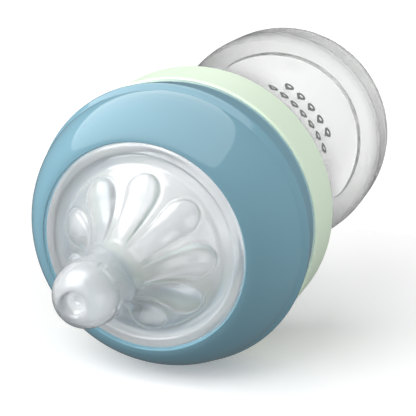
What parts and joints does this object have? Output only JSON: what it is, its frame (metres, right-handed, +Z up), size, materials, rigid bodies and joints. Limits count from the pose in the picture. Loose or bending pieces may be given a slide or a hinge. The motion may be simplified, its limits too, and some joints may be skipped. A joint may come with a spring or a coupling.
{
  "type": "baby bottle",
  "caption": "Wide-neck baby bottle: waisted clear body with grip recesses, loose collar, domed screw ring and a soft petal nipple.",
  "frame": {"origin": "centre of the foot, on the surface the bottle stands on", "axes": "+Z up along the bottle's axis towards the teat, -Y towards the printed front, +X to the right seen from the front"},
  "size_m": [0.0722, 0.0722, 0.1662],
  "materials": {
    "clear_plastic": "clear blow-moulded polypropylene, glossy, slightly milky",
    "pale_green_plastic": "satin moulded polypropylene, pale green",
    "blue_plastic": "high-gloss moulded polypropylene, dusty blue",
    "silicone": "translucent soft silicone, satin",
    "grey_ink": "thin matt grey ink"
  },
  "bodies": {
    "bottle": {"bottle": "clear_plastic", "front_print": "grey_ink", "volume_scale": "grey_ink"},
    "adapter_ring": {"adapter_ring": "pale_green_plastic"},
    "nipple": {"nipple": "silicone"},
    "screw_ring": {"screw_ring": "blue_plastic"}
  },
  "joints": [
    {"name": "nipple_lift", "type": "slide", "parent": "bottle", "child": "nipple", "axis": [0, 0, 1], "range_m": [0, 0.0075]},
    {"name": "ring_unscrew", "type": "hinge", "parent": "nipple", "child": "screw_ring", "pos_m": [0, 0, 0.12], "axis": [0, 0, 1], "range_deg": [0, 540]},
    {"name": "adapter_lift", "type": "slide", "parent": "bottle", "child": "adapter_ring", "axis": [0, 0, 1], "range_m": [0, 0.003]}
  ],
  "couplings": [
    {"joint": "nipple_lift", "follows": "ring_unscrew", "m_per_rad": 0.00079577},
    {"joint": "adapter_lift", "follows": "ring_unscrew", "m_per_rad": 0.00031831}
  ]
}
